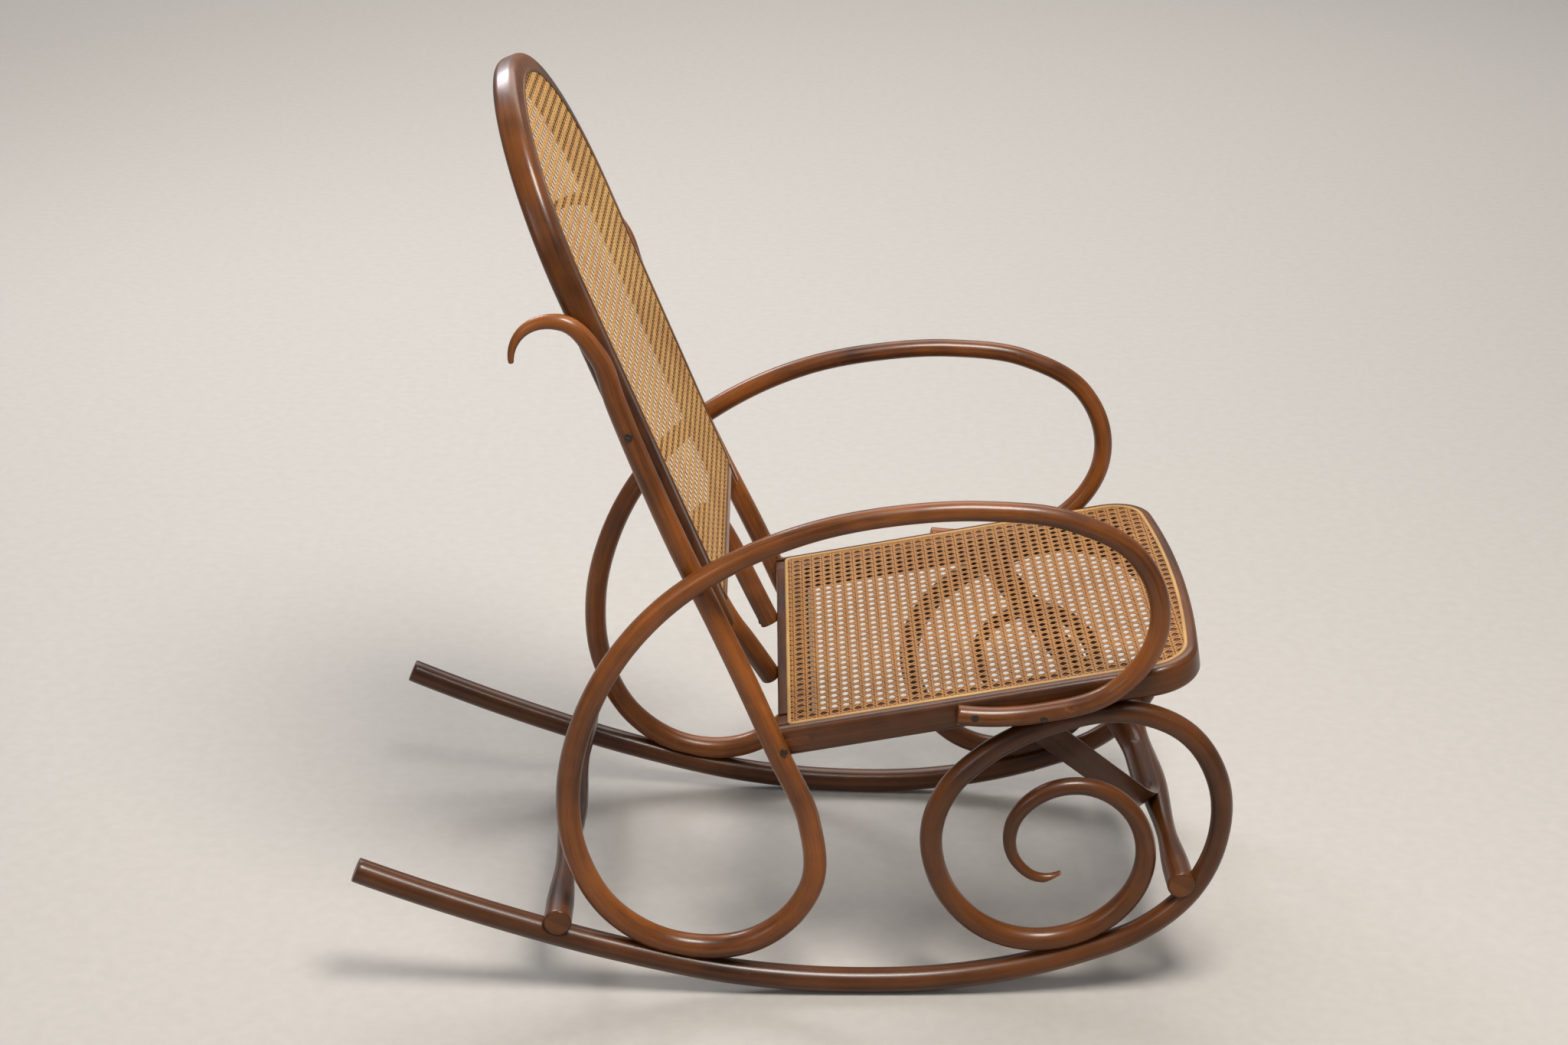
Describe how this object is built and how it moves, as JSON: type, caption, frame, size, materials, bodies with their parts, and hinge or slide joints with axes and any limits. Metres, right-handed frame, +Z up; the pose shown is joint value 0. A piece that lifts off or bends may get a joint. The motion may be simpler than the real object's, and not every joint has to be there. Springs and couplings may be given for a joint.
{
  "type": "rocking chair",
  "caption": "Bentwood rocking chair with scrolled rockers, looped arms, hooped back and woven cane seat and back.",
  "frame": {"origin": "bottom centre of the whole chair, on the floor, with the chair standing level at rest", "axes": "+X the way the sitter faces, +Y the sitter's left, +Z up"},
  "size_m": [0.9738, 0.522, 1.0099],
  "materials": {
    "beech": "brown varnish, satin, glossy on the rounds",
    "cane": "natural split cane, lightly varnished",
    "reed": "natural reed, satin",
    "steel": "dulled steel"
  },
  "bodies": {
    "root": {"rocker_scroll_right": "beech", "rocker_scroll_left": "beech", "arm_loop_right": "beech", "arm_loop_left": "beech", "seat_rim": "beech", "seat_rear_rail": "beech", "back_hoop": "beech", "back_crossbar": "beech", "front_stretcher": "beech", "rear_stretcher": "beech", "rear_support_hoop": "beech", "front_brace_hoop": "beech", "seat_cane": "cane", "back_cane": "cane", "seat_spline": "reed", "back_spline": "reed", "arm_seat_screws": "steel", "rocker_screws": "steel", "stile_seat_screws": "steel", "support_hoop_screws": "steel"}
  },
  "joints": []
}
